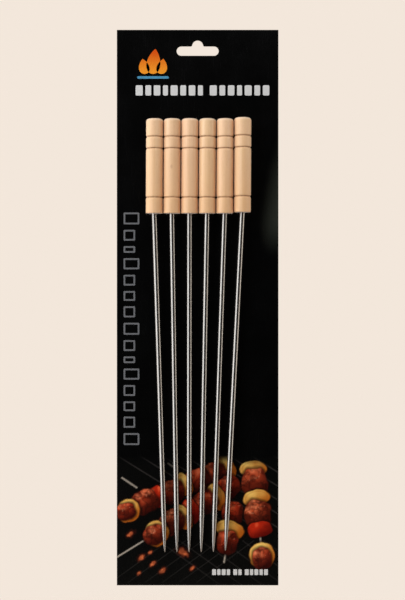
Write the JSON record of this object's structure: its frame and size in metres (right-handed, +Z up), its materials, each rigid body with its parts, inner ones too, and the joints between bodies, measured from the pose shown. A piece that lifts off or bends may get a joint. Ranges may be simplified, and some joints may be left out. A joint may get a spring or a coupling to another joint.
{
  "type": "carded set of barbecue skewers",
  "caption": "Straight steel barbecue skewers with turned wooden handles, fixed side by side on a printed hang card.",
  "frame": {"origin": "top of the hang hole's arch, where a hook carries the card, on the card's back face", "axes": "+Z up as the card hangs, +X right seen from the front, +Y out of the card's back; the skewers are on the -Y side"},
  "size_m": [0.123, 0.0152, 0.423],
  "materials": {
    "printed_board": "black print under a satin film, with a bare pale board edge",
    "turned_wood": "smooth unvarnished pale hardwood with scorched grooves",
    "polished_steel": "drawn and polished stainless steel",
    "hot_melt_glue": "cloudy amber-white glue"
  },
  "bodies": {
    "card": {"display_card": "printed_board", "handle_glue_1": "hot_melt_glue", "handle_glue_2": "hot_melt_glue", "handle_glue_3": "hot_melt_glue", "handle_glue_4": "hot_melt_glue", "handle_glue_5": "hot_melt_glue", "handle_glue_6": "hot_melt_glue", "rod_glue_1": "hot_melt_glue", "rod_glue_2": "hot_melt_glue", "rod_glue_3": "hot_melt_glue", "rod_glue_4": "hot_melt_glue", "rod_glue_5": "hot_melt_glue", "rod_glue_6": "hot_melt_glue"},
    "skewer_1": {"handle_1": "turned_wood", "rod_1": "polished_steel"},
    "skewer_2": {"handle_2": "turned_wood", "rod_2": "polished_steel"},
    "skewer_3": {"handle_3": "turned_wood", "rod_3": "polished_steel"},
    "skewer_4": {"handle_4": "turned_wood", "rod_4": "polished_steel"},
    "skewer_5": {"handle_5": "turned_wood", "rod_5": "polished_steel"},
    "skewer_6": {"handle_6": "turned_wood", "rod_6": "polished_steel"}
  },
  "joints": [
    {"name": "skewer_1_pull", "type": "slide", "parent": "card", "child": "skewer_1", "axis": [0, -1, 0], "range_m": [0, 0.05]},
    {"name": "skewer_2_pull", "type": "slide", "parent": "card", "child": "skewer_2", "axis": [0, -1, 0], "range_m": [0, 0.05]},
    {"name": "skewer_3_pull", "type": "slide", "parent": "card", "child": "skewer_3", "axis": [0, -1, 0], "range_m": [0, 0.05]},
    {"name": "skewer_4_pull", "type": "slide", "parent": "card", "child": "skewer_4", "axis": [0, -1, 0], "range_m": [0, 0.05]},
    {"name": "skewer_5_pull", "type": "slide", "parent": "card", "child": "skewer_5", "axis": [0, -1, 0], "range_m": [0, 0.05]},
    {"name": "skewer_6_pull", "type": "slide", "parent": "card", "child": "skewer_6", "axis": [0, -1, 0], "range_m": [0, 0.05]}
  ]
}
